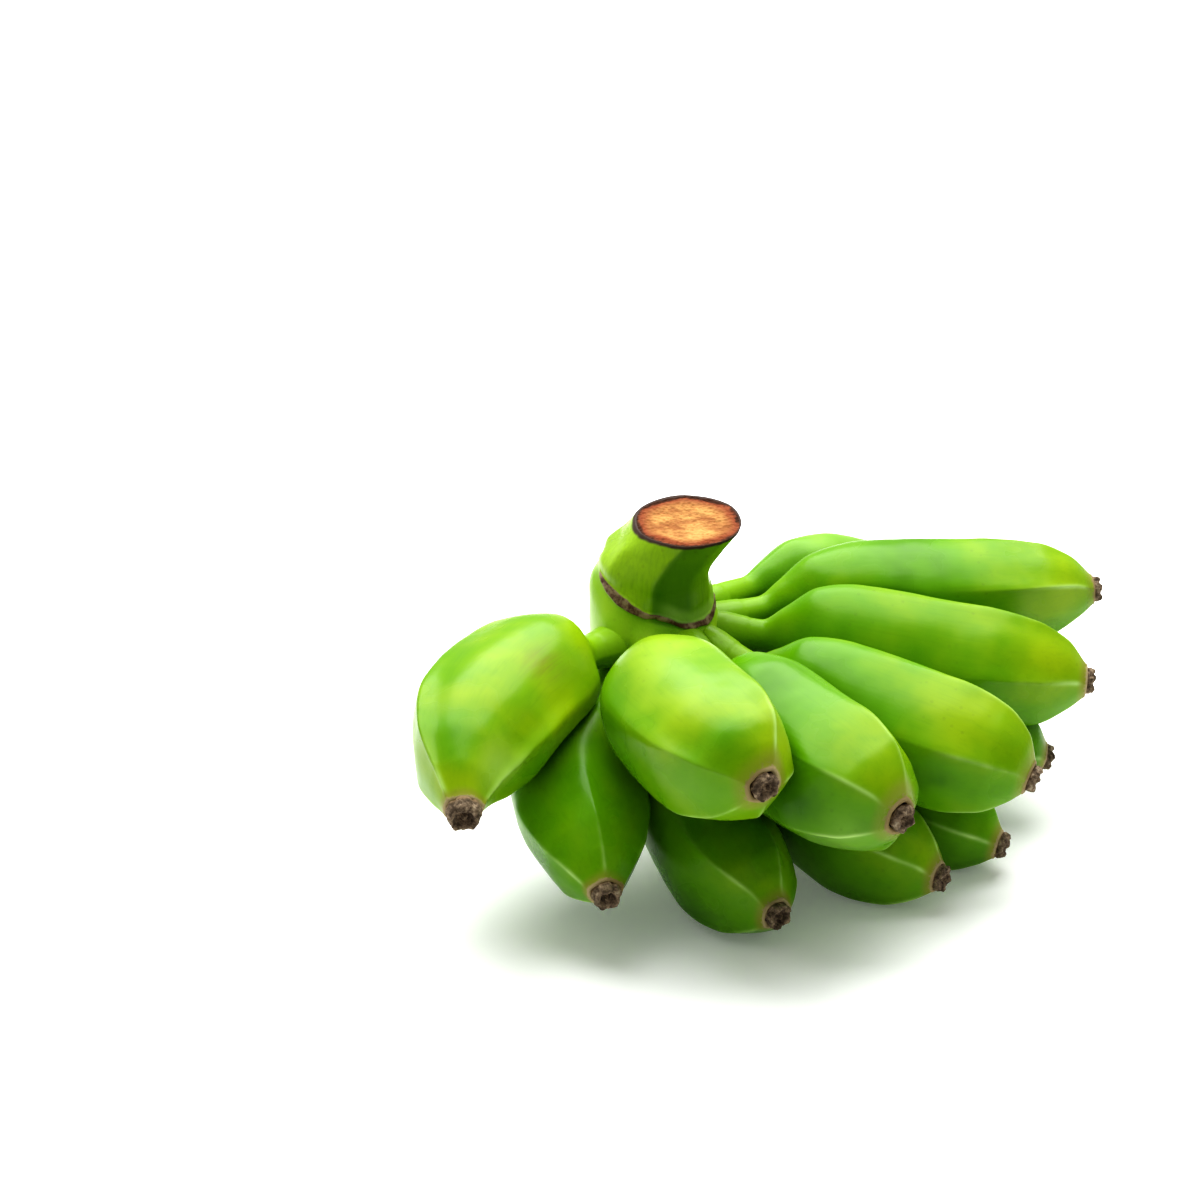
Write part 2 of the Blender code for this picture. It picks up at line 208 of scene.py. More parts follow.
def wrap(name, rings, finishes, masks, finish_of_ring=None):
    """A closed skin over rings of points, drawn together to a point at each end."""
    count, sides = rings.shape[:2]
    points = np.concatenate([rings.reshape(-1, 3), [rings[0].mean(0), rings[-1].mean(0)]])
    near = np.arange(count * sides).reshape(count, sides)
    far = np.roll(near, -1, axis=1)
    faces = np.stack([near[:-1], far[:-1], far[1:], near[1:]], axis=-1).reshape(-1, 4).tolist()
    first, last = count * sides, count * sides + 1
    faces += [(first, b, a) for a, b in zip(near[0].tolist(), far[0].tolist())]
    faces += [(last, a, b) for a, b in zip(near[-1].tolist(), far[-1].tolist())]
    mesh = bpy.data.meshes.new(name)
    mesh.from_pydata(points.tolist(), [], faces)
    for finish in finishes:
        mesh.materials.append(finish)
    if finish_of_ring is not None:
        each = np.repeat(finish_of_ring[:-1], sides).tolist()
        each += [finish_of_ring[0]] * sides + [finish_of_ring[-1]] * sides
        mesh.polygons.foreach_set("material_index", each)
    for mask, values in masks.items():
        values = np.broadcast_to(values, (count, sides))
        spread = np.concatenate([values.reshape(-1), [values[0].mean(), values[-1].mean()]])
        mesh.attributes.new(mask, "FLOAT", "POINT").data.foreach_set("value", spread.astype(np.float32))
    mesh.shade_smooth()
    mesh.update()
    piece = bpy.data.objects.new(name, mesh)
    bpy.context.scene.collection.objects.link(piece)
    return piece


def add(tree, kind, inputs=None, **settings):
    """One shader node, with its settings, and its inputs given as values or as other nodes' outputs."""
    node = tree.nodes.new("ShaderNode" + kind)
    for key, value in settings.items():
        setattr(node, key, value)
    for key, value in (inputs or {}).items():
        if isinstance(value, bpy.types.NodeSocket):
            tree.links.new(value, node.inputs[key])
        else:
            node.inputs[key].default_value = value
    return node


def mask_of(tree, name):
    return add(tree, "Attribute", attribute_name=name).outputs["Fac"]


def ramp(tree, value, low, high, to_low=0.0, to_high=1.0):
    """Maps low..high smoothly on to to_low..to_high."""
    inputs = {"Value": value, 1: low, 2: high, 3: to_low, 4: to_high}
    return add(tree, "MapRange", inputs, interpolation_type="SMOOTHSTEP").outputs[0]


def sum_of(tree, a, b):
    return add(tree, "Math", {0: a, 1: b}, operation="ADD").outputs[0]


def product_of(tree, a, b):
    return add(tree, "Math", {0: a, 1: b}, operation="MULTIPLY").outputs[0]


def mixed(tree, mask, under, over):
    """The colour `over` laid on `under` where the mask is 1."""
    over = (*over, 1) if isinstance(over, tuple) else over
    under = (*under, 1) if isinstance(under, tuple) else under
    node = add(tree, "Mix", data_type="RGBA", blend_type="MIX", clamp_factor=True)
    for index, value in ((0, mask), (6, under), (7, over)):
        if isinstance(value, bpy.types.NodeSocket):
            tree.links.new(value, node.inputs[index])
        else:
            node.inputs[index].default_value = value
    return node.outputs[2]


def object_place(tree):
    return add(tree, "TexCoord").outputs["Object"]


def noise_at(tree, place, scale, detail, roughness):
    """Noise of about 0.3 to 0.7, in spots that are smaller where the scale is larger."""
    inputs = {"Vector": place, "Scale": scale, "Detail": detail, "Roughness": roughness}
    return add(tree, "TexNoise", inputs).outputs["Fac"]


def cells_at(tree, place, scale):
    """The distance from the middle of the nearest cell, for round dots and cut fibres."""
    return add(tree, "TexVoronoi", {"Vector": place, "Scale": scale}, feature="F1").outputs["Distance"]


def bump_into(tree, shader, height, strength, depth):
    bump = add(tree, "Bump", {"Height": height, "Strength": strength, "Distance": depth})
    tree.links.new(bump.outputs[0], shader.inputs["Normal"])


def skin_grain():
    """Living green skin: broad mottling, long fibres, sparse freckles and the fine grain under the wax."""
    tree = bpy.data.node_groups.new("skin_grain", "ShaderNodeTree")
    for name in ("Length Scale", "Freckle Amount"):
        tree.interface.new_socket(name, in_out="INPUT", socket_type="NodeSocketFloat")
    for name in ("Mottle", "Fibres", "Freckles", "Height"):
        tree.interface.new_socket(name, in_out="OUTPUT", socket_type="NodeSocketFloat")
    length_scale, freckle_amount = tree.nodes.new("NodeGroupInput").outputs[:2]
    place = object_place(tree)
    along = product_of(tree, mask_of(tree, "along_mm"), length_scale)
    across = {0: mask_of(tree, "across_x"), 1: mask_of(tree, "across_y"), 2: along}
    mottle = noise_at(tree, place, 30.0, 3.0, 0.55)
    fibres = noise_at(tree, add(tree, "CombineXYZ", across).outputs[0], 0.9, 3.0, 0.6)
    dots = ramp(tree, cells_at(tree, place, 260.0), 0.10, 0.22, 1.0, 0.0)
    clusters = ramp(tree, noise_at(tree, place, 30.0, 1.0, 0.5), 0.50, 0.68)
    freckles = product_of(tree, product_of(tree, dots, clusters), freckle_amount)
    fine = product_of(tree, noise_at(tree, place, 900.0, 2.0, 0.6), 0.25)
    height = sum_of(tree, fine, noise_at(tree, place, 180.0, 2.0, 0.5))
    height = sum_of(tree, height, product_of(tree, fibres, 0.6))
    height = sum_of(tree, height, product_of(tree, freckles, -0.5))
    result = tree.nodes.new("NodeGroupOutput")
    for index, value in enumerate((mottle, fibres, freckles, height)):
        tree.links.new(value, result.inputs[index])
    return tree


SKIN_GRAIN = skin_grain()


def new_finish(name):
    material = bpy.data.materials.new(name)
    material.use_nodes = True
    return material, material.node_tree, material.node_tree.nodes["Principled BSDF"]


def grain_in(tree, length_scale, freckles):
    node = tree.nodes.new("ShaderNodeGroup")
    node.node_tree = SKIN_GRAIN
    node.inputs["Length Scale"].default_value = length_scale
    node.inputs["Freckle Amount"].default_value = freckles
    return node.outputs


def stalk_skin():
    """Green skin with painted light and shade on its flats, lighter on the cushion, with the dry scar and
    cut edge.
    """
    material, tree, shader = new_finish("green_stalk_skin")
    mottle, fibres, freckles, height = grain_in(tree, 0.08, 0.15)
    scar, rim = mask_of(tree, "scar"), mask_of(tree, "rim")
    # Painted light and shade: each flat gets a lit or a shaded green by its angle round the stalk.
    green = mixed(tree, ramp(tree, mask_of(tree, "flat_light_and_shade"), 0.0, 1.0), *STALK_SHADED_AND_LIT_GREENS)
    green = mixed(tree, ramp(tree, fibres, 0.35, 0.75, 0.0, 0.22), green, STALK_FIBRE)
    green = mixed(tree, ramp(tree, mottle, 0.45, 0.75, 0.0, 0.35), green, STALK_BLOOM)
    cushion = mixed(tree, ramp(tree, mottle, 0.35, 0.7), *CUSHION_GREENS)
    green = mixed(tree, mask_of(tree, "cushion"), green, cushion)
    green = mixed(tree, product_of(tree, mask_of(tree, "lip"), 0.6), green, LIP_GREEN)
    worn = noise_at(tree, object_place(tree), 240.0, 4.0, 0.6)
    dry = mixed(tree, ramp(tree, worn, 0.38, 0.62), *SCAR_BROWNS)
    ragged = sum_of(tree, scar, ramp(tree, worn, 0.3, 0.7, -0.25, 0.25))
    green = mixed(tree, ramp(tree, ragged, 0.25, 0.75), green, dry)
    green = mixed(tree, rim, green, CUT_RIM)
    green = mixed(tree, freckles, green, STALK_FRECKLE)
    tree.links.new(green, shader.inputs["Base Color"])
    dull = add(tree, "Math", {0: scar, 1: rim}, operation="MAXIMUM").outputs[0]
    rough = sum_of(tree, ramp(tree, mottle, 0.3, 0.7, 0.26, 0.40), product_of(tree, dull, 0.4))
    tree.links.new(rough, shader.inputs["Roughness"])
    bump_into(tree, shader, height, 0.5, 0.25 * MM)
    return material


def cut_flesh():
    """Drying cut fibre: orange-tan, mottled, redder towards the skin and dark brown at the edge."""
    material, tree, shader = new_finish("cut_stalk_flesh")
    place = object_place(tree)
    blotch = noise_at(tree, place, 100.0, 4.0, 0.62)
    fibre = cells_at(tree, place, 620.0)
    ragged = sum_of(tree, mask_of(tree, "out"), ramp(tree, blotch, 0.25, 0.75, -0.10, 0.10))
    flesh = mixed(tree, ramp(tree, blotch, 0.35, 0.65), *FLESH_TANS)
    flesh = mixed(tree, ramp(tree, ragged, 0.62, 0.90), flesh, FLESH_RED)
    flesh = mixed(tree, ramp(tree, fibre, 0.05, 0.40, 0.55, 0.0), flesh, FLESH_FIBRE)
    flesh = mixed(tree, ramp(tree, ragged, 0.88, 0.97), flesh, FLESH_EDGE)
    tree.links.new(flesh, shader.inputs["Base Color"])
    tree.links.new(ramp(tree, blotch, 0.3, 0.7, 0.60, 0.85), shader.inputs["Roughness"])
    shader.inputs["Specular IOR Level"].default_value = 0.15
    bump_into(tree, shader, sum_of(tree, fibre, product_of(tree, blotch, 1.5)), 0.9, 0.7 * MM)
    return material


def stalk_grid():
    """Rings from the middle of the lower cut, out to its edge, up the skin and in over the upper cut:
    each one's height in mm, how far out it is and 1 if it is on a cut, then the angles round it."""
    skin = np.concatenate([
        np.linspace(LOWER_CUT, -12, 30, endpoint=False), np.linspace(-12, 13, 84, endpoint=False),
        np.linspace(13, 30, 32, endpoint=False), np.linspace(30, UPPER_CUT, 8)])
    outward, cut = np.linspace(0.03, 0.97, CUT_RINGS), np.ones(CUT_RINGS)
    heights = np.concatenate([LOWER_CUT * cut, skin, UPPER_CUT * cut])[:, None]
    out = np.concatenate([outward, np.ones(len(skin)), outward[::-1]])[:, None]
    on_cut = np.concatenate([cut, np.zeros(len(skin)), cut])[:, None]
    theta = np.linspace(0, 2 * np.pi, STALK_SIDES, endpoint=False)[None]
    return heights, out, on_cut, theta


def bract_scar(above_scar, theta):
    """The scar's two dry ridges, overlapping at the front, and the pale lip of skin above the right one."""
    turn = np.degrees((theta + np.pi / 2) % (2 * np.pi)) - 90  # from the left round the front to the back
    wave = 0.25 * np.sin(3 * theta + 1) + 0.10 * np.sin(11 * theta) + 0.07 * np.sin(23 * theta + 2)
    left_path = 1.2 * step(-15, 5, turn) + wave
    left_half = 1.0 + 1.5 * step(-80, -55, turn) * step(2, -40, turn)
    left = step(1.0, 0.55, abs(above_scar - left_path) / left_half)
    left = left * step(9, 2, turn) * step(-84, -68, turn)
    right_path = -1.1 + 1.9 * step(35, 5, turn) + 1.1 * step(60, 95, turn) + wave
    right = step(1.0, 0.5, abs(above_scar - right_path) / 1.2)
    right = right * step(-4, 3, turn) * step(268, 240, turn)
    lip = step(-8, 24, turn) * step(105, 60, turn)
    lip = lip * step(0.6, 1.4, above_scar - right_path) * step(7.0, 3.0, above_scar - right_path)
    return np.maximum(left, right), lip


def near_a_neck(rings):
    """1 at the start of a finger's neck, and 0 away from all of them."""
    near = np.zeros(rings.shape[:2])
    for finger in FINGERS:
        away = np.linalg.norm((rings - root_of(finger)) / np.array([1, 1, 1.15]), axis=-1)
        near = np.maximum(near, np.exp(-((away / NECK_BULGE_WIDTH) ** 2)))
    return near


def make_stalk():
    heights, out, on_cut, theta = stalk_grid()
    skin = 1 - on_cut
    above_scar = heights - SCAR_RISE + SCAR_SLANT * np.sin(theta)
    above_scar = above_scar + SCAR_DROP * step(0.1, -0.7, np.cos(theta))
    scar, lip = bract_scar(above_scar, theta)
    scar, lip = scar * skin, lip * skin

    profile = np.array(STALK_PROFILE)
    radius = smooth_through(profile[:, :2], heights)
    radius = radius + CUSHION_SWELL * step(*SWELL_HEIGHTS, above_scar) * step(*FOOT_HEIGHTS, heights)
    depth = FLAT_DEPTH * step(0, 9, above_scar) * (1 - 0.7 * step(22, 31, heights))
    flats = 1 - depth * (0.97 - many_sided(theta, STALK_EDGES, EDGE_SHARPNESS))
    reach = STALK_RADIUS * radius * flats * out + SCAR_BUMP * scar

    # The collar tilts, and near the top the stalk leans over and is cut across at a slight slope.
    x, y = reach * np.sin(theta), -reach * np.cos(theta)
    collar = smooth_through(profile[:, [0, 2]], heights)
    z = heights * MM + collar * (COLLAR_RISE + y * math.tan(math.radians(COLLAR_TILT)))
    near_top = np.clip(np.clip(heights, 0, None) / UPPER_CUT * 4 - 3, 0, 1)
    z = z + near_top * math.tan(math.radians(CUT_TILT)) * y
    past = heights - BEND_HEIGHT
    x = x + STALK_SHIFT + STALK_LEAN * (np.sqrt(past**2 + BEND_LENGTH**2) + past) / 2 * MM
    rings = np.stack(np.broadcast_arrays(x, y, z), axis=-1)

    cushion = step(0.5, -2.5, above_scar) * skin
    outwards = np.stack(np.broadcast_arrays(np.sin(theta), -np.cos(theta), 0 * theta), axis=-1)
    rings = rings + outwards * (NECK_BULGE * near_a_neck(rings) * cushion)[..., None]

    # Raw cuts: sunk a little in the middle, torn fibres standing up.
    torn = uneven(rings, 4 * MM) * 0.35 + uneven(rings, 1.3 * MM, 7.0) * 0.22
    sunk = (1 - out**2) * 1.4 + 0.5 * step(0.80, 0.93, out) * step(1.0, 0.95, out)
    rings[..., 2] += on_cut * np.sign(-heights) * (sunk + torn) * MM
    rings += outwards * (skin * uneven(rings, 9 * MM, 3.0) * 0.25 * MM)[..., None]

    rim = step(30.6, 31.6, heights + 0.5 * uneven(rings, 3 * MM, 2.0)) + step(-31.0, -32.2, heights)
    # The painted light and shade of the flats, by angle round the stalk.
    light_and_shade = np.interp(np.degrees(theta) % 360, *np.array(STALK_LIGHT_AND_SHADE).T)
    masks = {
        "flat_light_and_shade": light_and_shade, "cushion": cushion, "lip": lip, "scar": scar, "rim": np.clip(rim, 0, 1),
        "out": out,
        "across_x": rings[..., 0] / MM, "across_y": rings[..., 1] / MM, "along_mm": rings[..., 2] / MM,
    }
    finishes = [stalk_skin(), cut_flesh()]
    return wrap("cut_stalk", rings + COLLAR, finishes, masks, on_cut[:, 0].astype(int))


stalk = make_stalk()
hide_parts("stalk")
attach(stalk, "root")

# ---- Fingers ---------------------------------------------------------------------------------
# Fifteen green bananas in two rows, each a five-ridged fruit with a smooth waxy peel on a short neck.
# They grow from one cushion and press flats on each other. Nothing joins them but the cushion.

FINGER_WIDTH = 48 * MM
FINGER_HEIGHT = 47 * MM
GAP = 0.25 * MM  # left between two fingers that press on each other
INTO_CUSHION = 0.05  # share of its length that a neck goes on inside the cushion
BEND_HANDLE = 0.36  # how stiffly the centre line keeps its two end headings
# Shape along a finger: (share of its length, share of its largest half-width or half-height).
HALF_WIDTH = (
    (0.00, 0.32), (0.13, 0.25), (0.21, 0.45), (0.32, 0.84), (0.46, 1.00), (0.70, 0.98),
    (0.87, 0.74), (0.955, 0.46), (1.00, 0.27),
)
BACK_HEIGHT = (
    (0.00, 0.32), (0.12, 0.26), (0.18, 0.48), (0.27, 0.86), (0.40, 1.00), (0.70, 0.99),
    (0.86, 0.86), (0.95, 0.60), (1.00, 0.28),
)
BELLY_HEIGHT = (
    (0.00, 0.32), (0.14, 0.26), (0.23, 0.46), (0.36, 0.86), (0.52, 1.00), (0.72, 0.98),
    (0.88, 0.76), (0.96, 0.47), (1.00, 0.27),
)
RIDGE_STRENGTH = ((-0.1, 0.15), (0.20, 0.35), (0.50, 0.60), (0.85, 0.90), (1.00, 0.60))
RIDGE_SHARPNESS = (
    (-0.1, 5.0), (0.3, 6.0), (0.55, 8.5), (0.75, 15.0), (0.86, 26.0), (0.93, 28.0), (1.0, 14.0),
)
RIDGE_WIDTH = 0.65 * MM
RIDGE_RISE = 0.18 * MM
FACE_SAG = 0.30  # a wide face bellies out, so that it never sinks further than this below its ridges
BROAD_DENTS, SMALL_DENTS = (19, 0.42), (6, 0.10)  # mm across, mm deep
PRESS_SOFTNESS = 0.8 * MM
RINGS = 150
STEPS_PER_FACE = 20
PRESS_ROWS, PRESS_COLUMNS = 43, 40
# The socket of the flower at the tip: (share of the tip's radius, mm beyond the tip).
TIP_SOCKET = ((0.97, 0.45), (0.88, 0.75), (0.78, 0.70), (0.70, 0.2), (0.66, -0.5), (0.2, -1.0))

# Patches of painted light, painted shade and painted sheen on the fingers: share of its length, degrees
# round it, how far each way, how much lighter with painted light (below 0, deeper green with painted shade)
# and how much whiter with painted sheen.
Patch = namedtuple("Patch", "finger share turn long wide yellower paler")
PAINTED_LIGHT_PATCHES = (
    Patch("upper_finger_1", 0.86, 84, 0.09, 34, -0.32, 0.00),
    Patch("upper_finger_1", 0.55, 105, 0.16, 40, 0.20, 0.00),
    Patch("upper_finger_1", 0.89, 156, 0.07, 28, 0.10, 0.55),
    Patch("upper_finger_1", 0.52, 168, 0.18, 26, 0.45, 0.00),
    Patch("upper_finger_2", 0.90, 58, 0.06, 34, -0.36, 0.00),
    Patch("upper_finger_2", 0.62, 60, 0.16, 32, 0.00, 0.16),
    Patch("upper_finger_2", 0.50, 120, 0.20, 50, 0.05, 0.20),
    Patch("upper_finger_2", 0.88, 350, 0.10, 24, 0.00, 0.22),
    Patch("upper_finger_3", 0.46, 62, 0.20, 50, -0.15, 0.00),
    Patch("upper_finger_3", 0.78, 14, 0.22, 24, -0.42, 0.00),
    Patch("upper_finger_3", 0.94, 338, 0.06, 30, -0.20, 0.22),
    Patch("upper_finger_4", 0.38, 72, 0.18, 50, -0.22, 0.00),
    Patch("upper_finger_4", 0.78, 352, 0.14, 24, -0.25, 0.00),
    Patch("upper_finger_5", 0.87, 50, 0.08, 40, 0.35, 0.00),
    Patch("upper_finger_5", 0.30, 60, 0.12, 60, -0.20, 0.00),
    Patch("upper_finger_5", 0.85, 350, 0.10, 24, 0.20, 0.00),
    Patch("upper_finger_6", 0.55, 62, 0.20, 60, -0.25, 0.00),
    Patch("upper_finger_6", 0.85, 0, 0.12, 26, 0.35, 0.10),
    Patch("upper_finger_7", 0.45, 80, 0.20, 70, -0.15, 0.35),
)
RUB = Patch("upper_finger_1", 0.48, 128, 0.07, 16, 0.0, 0.0)  # where a brown rub shows through the green

DEEP_GREEN = (0.035, 0.135, 0.001)
MIDDLE_GREEN = (0.120, 0.310, 0.001)
YELLOW_GREEN = (0.300, 0.440, 0.003)
PEEL_FIBRE = (0.050, 0.190, 0.001)
# Whitish green of the painted sheen.
PAINTED_SHEEN_GREEN = (0.390, 0.620, 0.150)
RUB_BROWN = (0.230, 0.190, 0.030)
NECK_GREEN = (0.210, 0.400, 0.006)
# Pale green of the ridge lines: partly wear, partly painted highlight.
RIDGE_WEAR_AND_HIGHLIGHT = (0.480, 0.700, 0.230)
NOSE_OLIVE = (0.260, 0.260, 0.040)
CORK_TANS = (0.250, 0.190, 0.075), (0.420, 0.350, 0.190)
SOCKET_BROWN = (0.060, 0.036, 0.022)
PEEL_FRECKLE = (0.060, 0.080, 0.010)


def spine(finger, t):
    """The finger's centre line at shares t of its length: points, unit headings and its length."""
    start, end = root_of(finger), np.array(finger.tip) * MM
    handle = BEND_HANDLE * np.linalg.norm(end - start)
    leaving = start + handle * heading(finger.root, finger.rise)
    arriving = end - handle * heading(finger.turn_end, finger.rise_end)
    u = np.linspace(0, 1, 201)[:, None]
    curve = ((1 - u) ** 3 * start + 3 * (1 - u) ** 2 * u * leaving
             + 3 * (1 - u) * u**2 * arriving + u**3 * end)
    steps = np.linalg.norm(np.diff(curve, axis=0), axis=1)
    length = steps.sum()
    share = np.concatenate([[0], np.cumsum(steps)]) / length
    slope = np.gradient(curve, share, axis=0)
    at = np.stack([np.interp(t, share, curve[:, k]) for k in range(3)], axis=-1)
    along = np.stack([np.interp(t, share, slope[:, k]) for k in range(3)], axis=-1)
    along = along / np.linalg.norm(along, axis=-1, keepdims=True)
    at = at + along * (np.minimum(t, 0) * length)[..., None]
    return at, along, length


def sideways(forward):
    """The unit directions to the right of a heading and up from it."""
    right = np.cross(forward, [0, 0, 1])
    right = right / np.linalg.norm(right, axis=-1, keepdims=True)
    return right, np.cross(right, forward)


def half_sizes(finger, t):
    """Half-width, height of the back and depth of the belly."""
    t = np.clip(t, 0, 1) ** (math.log(0.2) / math.log(0.2 * finger.neck))
    t = 1 - (1 - t) ** (math.log(0.3) / math.log(0.3 * finger.nose))
    wide = FINGER_WIDTH / 2 * finger.width * smooth_through(HALF_WIDTH, t)
    half_height = FINGER_HEIGHT / 2 * finger.height
    return wide, half_height * smooth_through(BACK_HEIGHT, t), half_height * smooth_through(BELLY_HEIGHT, t)


def free_skin(finger, t, theta):
    """Centres, unit directions and radii of the skin, if nothing pressed on it."""
    centre, forward, _ = spine(finger, t)
    right, up = sideways(forward)
    sag = 0.99 - many_sided(theta, finger.ridges, smooth_through(RIDGE_SHARPNESS, t))
    radius = 1 - smooth_through(RIDGE_STRENGTH, t) * sag / np.sqrt(1 + (sag / FACE_SAG) ** 2)
    wide, back, belly = half_sizes(finger, t)
    x, y = radius * np.cos(theta) * wide, radius * np.sin(theta)
    y = y * np.where(y > 0, back, belly)
    out = x[..., None] * right + y[..., None] * up
    reach = np.linalg.norm(out, axis=-1)
    return centre, out / reach[..., None], reach


SPINE_SAMPLES = np.linspace(0, 1, 61)
TUBES = {}
for finger in FINGERS:
    wide, back, belly = half_sizes(finger, SPINE_SAMPLES)
    TUBES[finger.name] = spine(finger, SPINE_SAMPLES)[0], 0.46 * wide + 0.23 * (back + belly)


def inside_by(name, points):
    """How far points are from that finger's centre line, less its mean half-thickness there."""
    at, thick = TUBES[name]
    return (np.linalg.norm(points[..., None, :] - at, axis=-1) - thick).min(-1)


def press_limit(finger, t, theta):
    """The largest radius that the fingers round this one leave it, as a multiple of its free radius."""
    centre, out, reach = free_skin(finger, t, theta)
    own = TUBES[finger.name][0]
    near = [name for name, (at, _) in TUBES.items() if name != finger.name
            and np.linalg.norm(own[:, None] - at[None], axis=-1).min() < FINGER_WIDTH * 1.3]

    def clear(radius):
        points = centre + out * radius[..., None]
        nearest = np.min([inside_by(name, points) for name in near], axis=0)
        return nearest - inside_by(finger.name, points) - GAP

    low, high = np.zeros_like(reach), reach * 1.5
    free = clear(high) > 0
    for _ in range(11):
        middle = (low + high) / 2
        within = clear(middle) > 0
        low, high = np.where(within, middle, low), np.where(within, high, middle)
    return np.where(free, 1.5, low / reach)


def between(values, places, wraps):
    """Rows of values read smoothly at places counted in rows (Catmull-Rom)."""
    count = len(values)
    i = np.floor(places).astype(int)
    u = (places - i)[:, None]
    rows = [values[(i + k) % count if wraps else np.clip(i + k, 0, count - 1)] for k in (-1, 0, 1, 2)]
    return 0.5 * (2 * rows[1] + (rows[2] - rows[0]) * u
                  + (2 * rows[0] - 5 * rows[1] + 4 * rows[2] - rows[3]) * u**2
                  + (3 * rows[1] - rows[0] - 3 * rows[2] + rows[3]) * u**3)


def finger_grid(finger):
    """Shares of the length, closer at the two ends, and angles round, closer at the ridges."""
    edge = np.radians(finger.ridges)
    after = np.roll(edge, -1) + np.array([0] * 4 + [2 * np.pi])
    s = np.arange(STEPS_PER_FACE) / STEPS_PER_FACE
    s = s - 0.75 * np.sin(2 * np.pi * s) / (2 * np.pi)
    theta = np.concatenate([a + (b - a) * s for a, b in zip(edge, after)])
    j = np.linspace(0, 1, RINGS)
    t = -INTO_CUSHION + (1 + INTO_CUSHION) * (j - 0.5 * np.sin(2 * np.pi * j) / (2 * np.pi))
    return t, theta


def smooth_limit(finger, t, theta):
    """press_limit at every ring and angle, read between fewer of them."""
    some_t = np.linspace(-INTO_CUSHION, 1, PRESS_ROWS)
    some_theta = np.linspace(0, 2 * np.pi, PRESS_COLUMNS, endpoint=False)
    limit = press_limit(finger, *np.meshgrid(some_t, some_theta, indexing="ij"))
    rows = (t + INTO_CUSHION) / (1 + INTO_CUSHION) * (PRESS_ROWS - 1)
    columns = (theta / (2 * np.pi)) % 1 * PRESS_COLUMNS
    return between(between(limit, rows, False).T, columns, True).T


def ridge_lines(finger, t, theta, reach):
    """1 along each ridge, and 0 off it."""
    off = [(theta - edge + np.pi) % (2 * np.pi) - np.pi for edge in np.radians(finger.ridges)]
    return np.max([np.exp(-(angle * reach / RIDGE_WIDTH) ** 2) for angle in off], axis=0)


def in_patch(patch, t, turn):
    """1 in the middle of a patch, fading out round it."""
    round_by = (turn - patch.turn + 180) % 360 - 180
    return np.exp(-(((t - patch.share) / patch.long) ** 2 + (round_by / patch.wide) ** 2))


def patch_masks(finger, t, turn):
    """How much painted light and shade, how much painted sheen and how rubbed the peel is."""
    nothing = np.zeros(t.shape)
    own = [(patch, in_patch(patch, t, turn)) for patch in PAINTED_LIGHT_PATCHES if patch.finger == finger.name]
    light_and_shade = sum((patch.yellower * there for patch, there in own), nothing)
    pale = sum((patch.paler * there for patch, there in own), nothing)
    rub = in_patch(RUB, t, turn) if finger.name == RUB.finger else nothing
    return {"light_and_shade": light_and_shade, "pale": pale, "rub": rub}


def finger_rings(finger, number):
    """The peel's rings from inside the cushion to the tip, then into the flower's socket, and its masks."""
    t, theta = finger_grid(finger)
    limit = smooth_limit(finger, t, theta)
    t, theta = np.broadcast_arrays(t[:, None], theta[None])
    centre, out, reach = free_skin(finger, t, theta)
    body = step(0.2, 0.45, t) * step(1.0, 0.97, t)
    ridge = ridge_lines(finger, t, theta, reach)
    reach = reach + RIDGE_RISE * ridge * body * step(0.55, 0.85, t)
    ridge = ridge * body * (0.04 + 0.96 * step(0.74, 0.93, t))
    free = centre + out * reach[..., None]
    broad = BROAD_DENTS[1] * uneven(free, BROAD_DENTS[0] * MM, number)
    small = SMALL_DENTS[1] * uneven(free, SMALL_DENTS[0] * MM, number + 0.5)
    reach = reach + MM * (broad + small) * step(0.1, 0.3, t) * step(1.0, 0.93, t)

    # Where a neighbour is in the way, the skin eases into a flat against it.
    limit = limit * reach
    pressed = (reach + limit) / 2 - np.sqrt(((reach - limit) / 2) ** 2 + PRESS_SOFTNESS**2)
    pressed = np.where(t < 0.06, np.minimum(pressed + PRESS_SOFTNESS, reach), pressed)
    rings = centre + out * pressed[..., None]
    tip, forward, length = spine(finger, np.array(1.0))
    socket = [tip + (rings[-1] - tip) * share + forward * beyond * MM for share, beyond in TIP_SOCKET]
    rings = np.concatenate([rings, socket])

    none = np.zeros((len(TIP_SOCKET), rings.shape[1]))
    t = np.concatenate([t, 1 + none + np.arange(1, len(TIP_SOCKET) + 1)[:, None] * 0.01])
    masks = {
        "along": t, "along_mm": t * length / MM + 50 * number, "ridge": np.concatenate([ridge, none]),
        "across_x": np.concatenate([np.cos(theta) * reach, none]) / MM,
        "across_y": np.concatenate([np.sin(theta) * reach, none]) / MM,
        "above": np.concatenate([np.sin(theta), none]), "yellow": np.full(t.shape, finger.yellow),
    }
    masks.update(patch_masks(finger, t, np.degrees(np.concatenate([theta, none]))))
    return rings, masks


